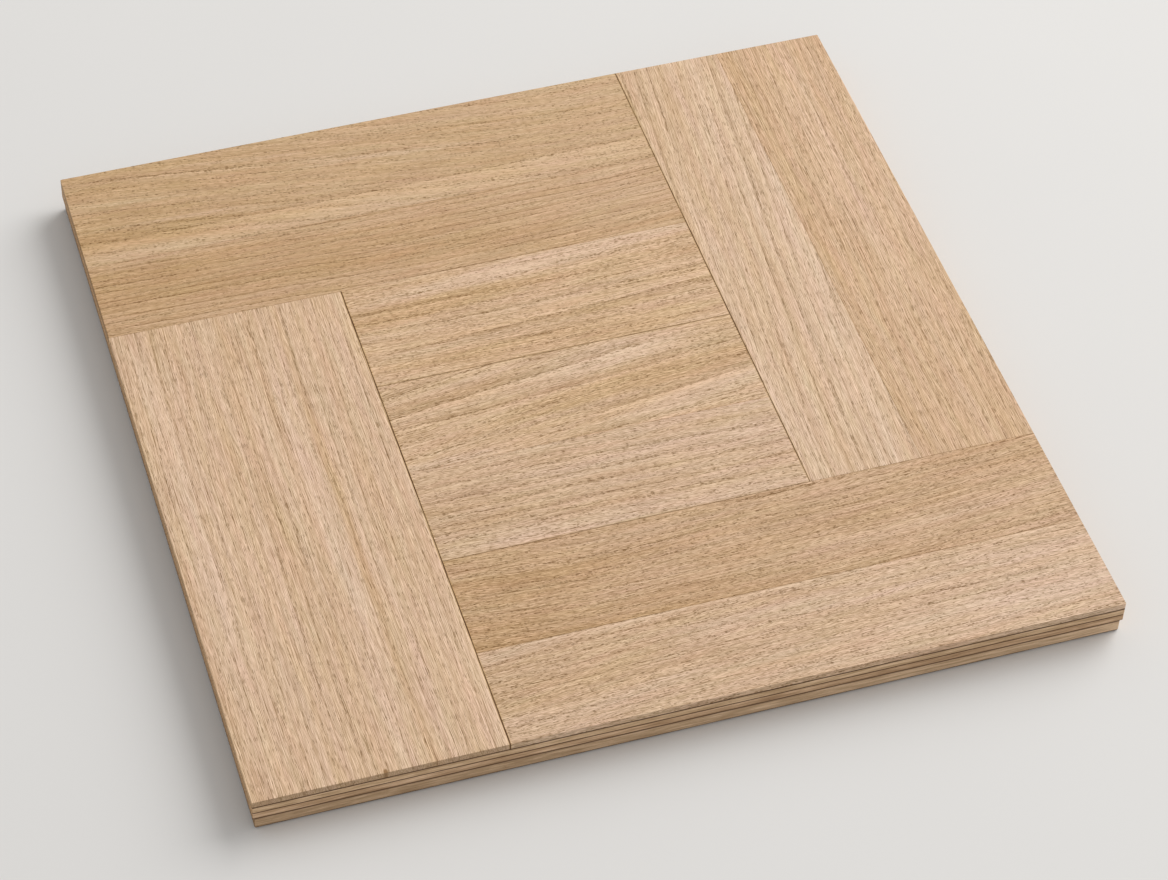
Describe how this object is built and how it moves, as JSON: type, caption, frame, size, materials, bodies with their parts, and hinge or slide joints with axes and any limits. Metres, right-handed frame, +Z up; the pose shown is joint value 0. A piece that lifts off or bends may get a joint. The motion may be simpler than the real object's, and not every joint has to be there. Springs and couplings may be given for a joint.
{
  "type": "parquet block",
  "caption": "Square oak parquet block: oak strips laid as a pinwheel round a centre field on plies and a backing layer, for gluing down beside its neighbours.",
  "frame": {"origin": "middle of the underside", "axes": "+X to the right along the front edge, +Y to the back edge, +Z up out of the oak face"},
  "size_m": [0.49, 0.49, 0.0235],
  "materials": {
    "oak_back_outer": "matt, sanded",
    "oak_back_inner": "matt, sanded",
    "oak_right_inner": "matt, sanded",
    "oak_right_outer": "matt, sanded",
    "oak_front_inner": "matt, sanded",
    "oak_front_outer": "matt, sanded",
    "oak_left": "matt, sanded",
    "oak_centre_back": "matt, sanded",
    "oak_centre_middle": "matt, sanded",
    "oak_centre_front": "matt, sanded",
    "ply_upper": "sawn edge, unfinished",
    "ply_lower": "sawn edge, unfinished",
    "backing": "sawn edge, unfinished"
  },
  "bodies": {
    "root": {"back_arm_outer_strip": "oak_back_outer", "back_arm_inner_strip": "oak_back_inner", "right_arm_inner_strip": "oak_right_inner", "right_arm_outer_strip": "oak_right_outer", "front_arm_inner_strip": "oak_front_inner", "front_arm_outer_strip": "oak_front_outer", "left_arm_plank": "oak_left", "centre_back_strip": "oak_centre_back", "centre_middle_strip": "oak_centre_middle", "centre_front_strip": "oak_centre_front", "upper_ply": "ply_upper", "lower_ply": "ply_lower", "backing_layer": "backing"}
  },
  "joints": []
}
